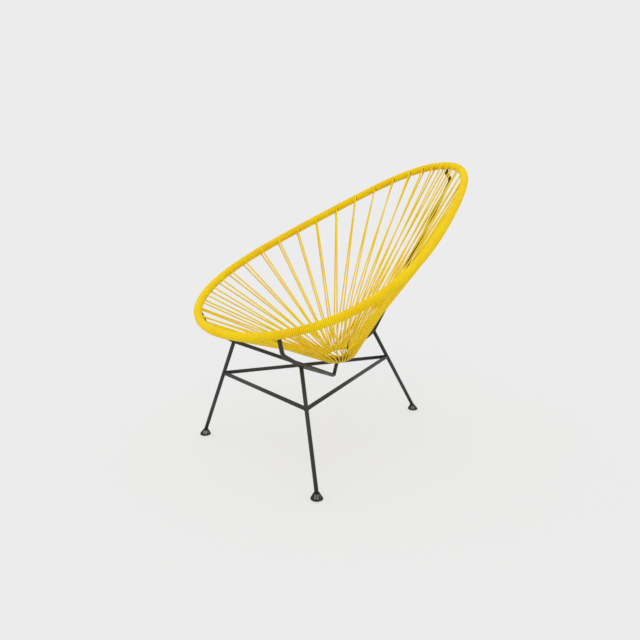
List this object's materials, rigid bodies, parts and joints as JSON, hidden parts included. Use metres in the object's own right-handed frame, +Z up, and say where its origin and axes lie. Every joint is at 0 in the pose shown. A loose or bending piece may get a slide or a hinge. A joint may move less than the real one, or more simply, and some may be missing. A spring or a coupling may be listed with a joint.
{
  "type": "acapulco lounge chair",
  "caption": "Low outdoor lounge chair: an egg-shaped wrapped steel rim strung with yellow PVC cord to a small hub ring, on a black steel rod base with conical feet.",
  "frame": {"origin": "on the floor, below the middle of the chair's overall length and width", "axes": "+Z up; the seat faces -Y, so +Y is towards the high back; +X is towards the sitter's left"},
  "size_m": [0.7151, 1.0137, 0.9019],
  "materials": {
    "cord": "semi-gloss yellow PVC cord",
    "steel": "charcoal powder coat, satin",
    "foot": "matt black moulded"
  },
  "bodies": {
    "root": {"seat_cord_01": "cord", "seat_cord_02": "cord", "seat_cord_03": "cord", "seat_cord_04": "cord", "seat_cord_05": "cord", "seat_cord_06": "cord", "seat_cord_07": "cord", "seat_cord_08": "cord", "seat_cord_09": "cord", "seat_cord_10": "cord", "seat_cord_11": "cord", "seat_cord_12": "cord", "seat_cord_13": "cord", "seat_cord_14": "cord", "seat_cord_15": "cord", "seat_cord_16": "cord", "seat_cord_17": "cord", "seat_cord_18": "cord", "seat_cord_19": "cord", "seat_cord_20": "cord", "seat_cord_21": "cord", "seat_cord_22": "cord", "seat_cord_23": "cord", "seat_cord_24": "cord", "seat_cord_25": "cord", "seat_cord_26": "cord", "seat_cord_27": "cord", "seat_cord_28": "cord", "seat_cord_29": "cord", "seat_cord_30": "cord", "seat_cord_31": "cord", "seat_cord_32": "cord", "seat_cord_33": "cord", "seat_cord_34": "cord", "seat_cord_35": "cord", "seat_cord_36": "cord", "seat_cord_37": "cord", "seat_cord_38": "cord", "seat_cord_39": "cord", "seat_cord_40": "cord", "seat_cord_41": "cord", "seat_cord_42": "cord", "seat_cord_43": "cord", "seat_cord_44": "cord", "rim_rod": "steel", "hub_ring": "steel", "spine": "steel", "hub_stub": "steel", "arm_left": "steel", "arm_right": "steel", "leg_front_left": "steel", "leg_front_right": "steel", "leg_rear": "steel", "brace_front": "steel", "brace_left": "steel", "brace_right": "steel", "foot_front_left": "foot", "foot_front_right": "foot", "foot_rear": "foot"}
  },
  "joints": []
}
